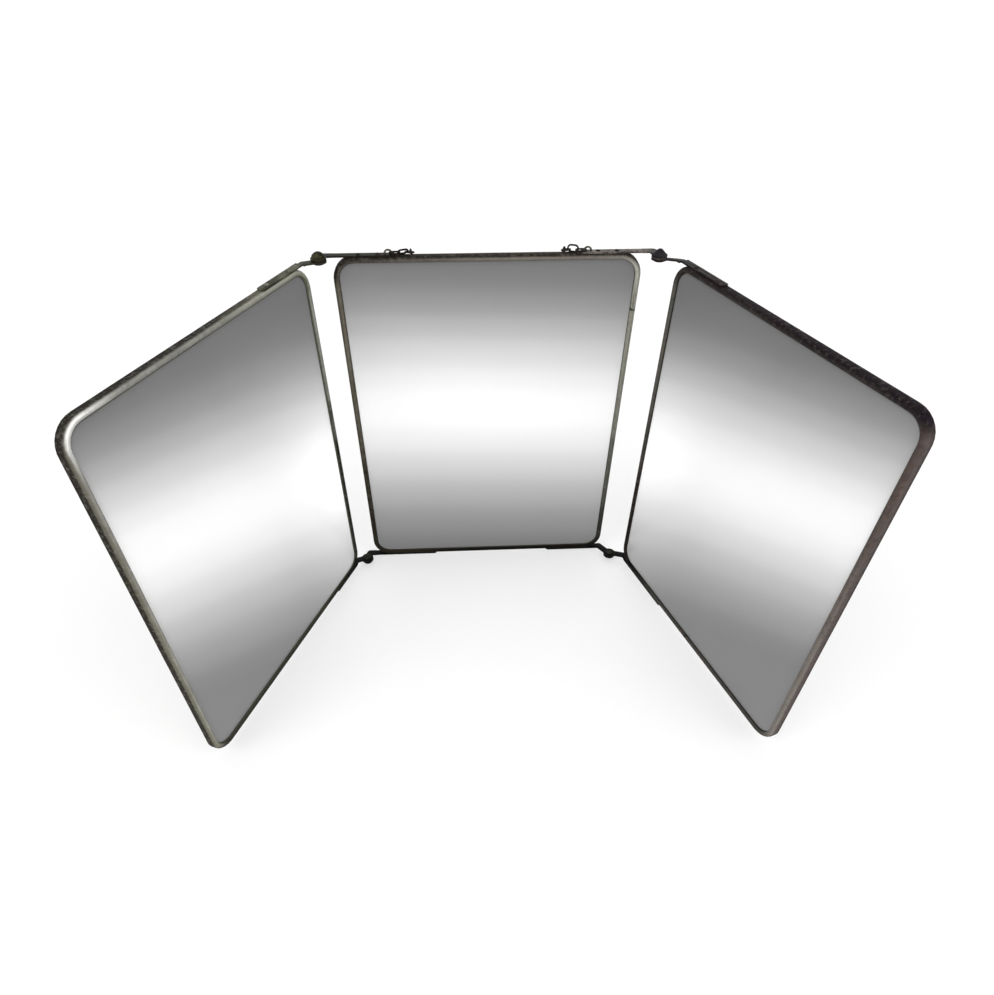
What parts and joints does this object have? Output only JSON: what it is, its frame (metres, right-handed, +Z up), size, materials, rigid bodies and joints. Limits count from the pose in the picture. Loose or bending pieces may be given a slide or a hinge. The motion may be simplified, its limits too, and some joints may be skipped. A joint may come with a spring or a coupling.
{
  "type": "triptych mirror",
  "caption": "Folding triptych table and wall mirror of thin rolled-edge metal frames on dog-leg knob hinges, with a hanging chain.",
  "frame": {"origin": "middle of the centre panel's rear plane, where it would lie against a wall", "axes": "+X to the viewer's right across the centre panel, +Y back through it, +Z up"},
  "size_m": [0.3726, 0.21, 0.2628],
  "materials": {
    "centre_frame_metal": "worn dull plating",
    "left_frame_metal": "worn dull plating",
    "right_frame_metal": "corroded dull plating",
    "strap_metal": "tarnished",
    "rivet_metal": "rubbed bright on top",
    "staple_wire": "rubbed wire",
    "chain_metal": "blackened",
    "pin_metal": "dull",
    "knob_metal": "tarnished",
    "back_tinplate": "aged tinplate",
    "card": "matt card",
    "silvered_glass": "clean silvered glass"
  },
  "bodies": {
    "centre_panel": {"centre_frame": "centre_frame_metal", "centre_mirror": "silvered_glass", "centre_backing_card": "card", "centre_back_plate": "back_tinplate", "centre_strap_top_left": "strap_metal", "centre_strap_top_right": "strap_metal", "centre_strap_bottom_left": "strap_metal", "centre_strap_bottom_right": "strap_metal", "centre_rivets": "rivet_metal", "chain_staple_left": "staple_wire", "chain_staple_right": "staple_wire", "chain_end_links": "chain_metal", "pin_top_left": "pin_metal", "pin_bottom_left": "pin_metal", "pin_top_right": "pin_metal", "pin_bottom_right": "pin_metal", "knob_top_left": "knob_metal", "knob_bottom_left": "knob_metal", "knob_top_right": "knob_metal", "knob_bottom_right": "knob_metal"},
    "left_wing": {"left_frame": "left_frame_metal", "left_mirror": "silvered_glass", "left_backing_card": "card", "left_back_plate": "back_tinplate", "left_strap_top": "strap_metal", "left_strap_bottom": "strap_metal", "left_rivets": "rivet_metal"},
    "right_wing": {"right_frame": "right_frame_metal", "right_mirror": "silvered_glass", "right_backing_card": "card", "right_back_plate": "back_tinplate", "right_strap_top": "strap_metal", "right_strap_bottom": "strap_metal", "right_rivets": "rivet_metal"},
    "free_chain": {"suspension_chain": "chain_metal"}
  },
  "joints": [
    {"name": "left_wing_fold", "type": "hinge", "parent": "centre_panel", "child": "left_wing", "pos_m": [-0.1044, -0.0101, 0], "axis": [0, 0, 1], "range_deg": [-102.7, 112.3]},
    {"name": "right_wing_fold", "type": "hinge", "parent": "centre_panel", "child": "right_wing", "pos_m": [0.1056, -0.0136, 0], "axis": [0, 0, -1], "range_deg": [-106.8, 108.2]},
    {"name": "chain_swing", "type": "hinge", "parent": "centre_panel", "child": "free_chain", "pos_m": [0, 0.0033, 0.12604], "axis": [1, 0, 0], "range_deg": [0, 178]}
  ]
}
